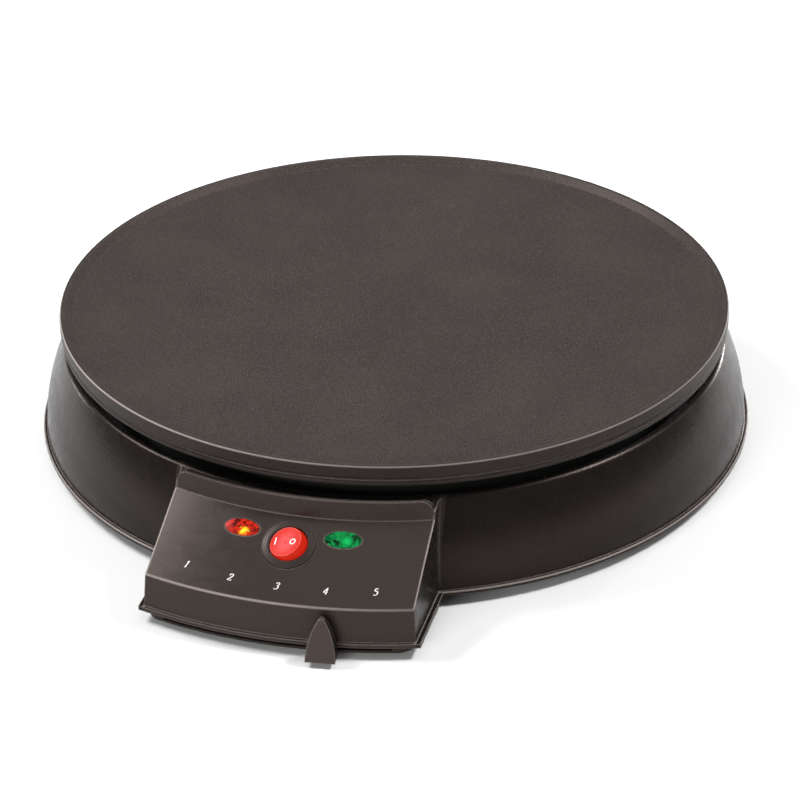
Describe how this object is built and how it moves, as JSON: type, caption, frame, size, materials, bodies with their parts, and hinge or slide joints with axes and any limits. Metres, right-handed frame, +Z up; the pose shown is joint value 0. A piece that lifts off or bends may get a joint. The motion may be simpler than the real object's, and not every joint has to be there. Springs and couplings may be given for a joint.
{
  "type": "electric crepe maker",
  "caption": "Round non-stick hot plate on a moulded base with a sliding thermostat lever, a rocker switch and indicator lenses.",
  "frame": {"origin": "on the table, under the middle of the outline's box; the hot plate's axis is at y = +20.875 mm", "axes": "+Z up, the control housing faces -Y, the cord entry faces +Y"},
  "size_m": [0.3324, 0.3818, 0.0636],
  "materials": {
    "shell_plastic": "semi-gloss moulded heat-resistant plastic",
    "base_plastic": "fine-textured moulded plastic",
    "coated_aluminium": "die-cast, speckled non-stick coating",
    "heater_sheath": "heat-darkened steel sheath",
    "steel": "zinc-plated steel",
    "dark_sheet": "black heat-resistant coating on steel sheet",
    "brass": "plain pressed brass",
    "ceramic": "unglazed steatite ceramic",
    "switch_plastic": "polished black plastic",
    "rocker_red": "clear red gloss plastic",
    "lens_red": "clear red moulded lens",
    "lens_green": "clear green moulded lens",
    "lamp_glass": "neon lamp glass",
    "white_plastic": "natural white plastic",
    "rubber": "moulded rubber"
  },
  "bodies": {
    "base": {"base_shell": "shell_plastic", "base_plate": "base_plastic", "hot_plate": "coated_aluminium", "heating_element": "heater_sheath", "element_clamps": "steel", "clamp_screws": "steel", "heat_shield": "dark_sheet", "plate_studs": "steel", "stud_bushes": "ceramic", "stud_nuts": "steel", "thermostat_case": "ceramic", "thermostat_bracket": "steel", "bracket_screws": "steel", "switch_case": "switch_plastic", "switch_tabs": "brass", "power_lens": "lens_red", "ready_lens": "lens_green", "lamp_holders": "white_plastic", "neon_lamps": "lamp_glass", "terminal_block": "white_plastic", "terminal_screws": "steel", "thermal_fuse": "ceramic", "fuse_clips": "steel", "element_tabs": "brass", "cord_gland": "rubber", "feet": "rubber", "base_screws": "steel"},
    "lever": {"spindle": "steel", "lever_arm": "steel", "arm_screw": "steel", "lever_pointer": "shell_plastic"},
    "rocker": {"rocker": "rocker_red"}
  },
  "joints": [
    {"name": "lever_pivot", "type": "hinge", "parent": "base", "child": "lever", "pos_m": [0, 0.02088, 0.0135], "axis": [0, 0, 1], "range_deg": [-18.6, 6.2]},
    {"name": "rocker_pivot", "type": "hinge", "parent": "base", "child": "rocker", "pos_m": [0, -0.15363, 0.03339], "axis": [0, 0.8949, 0.4463], "range_deg": [0, 32]}
  ]
}
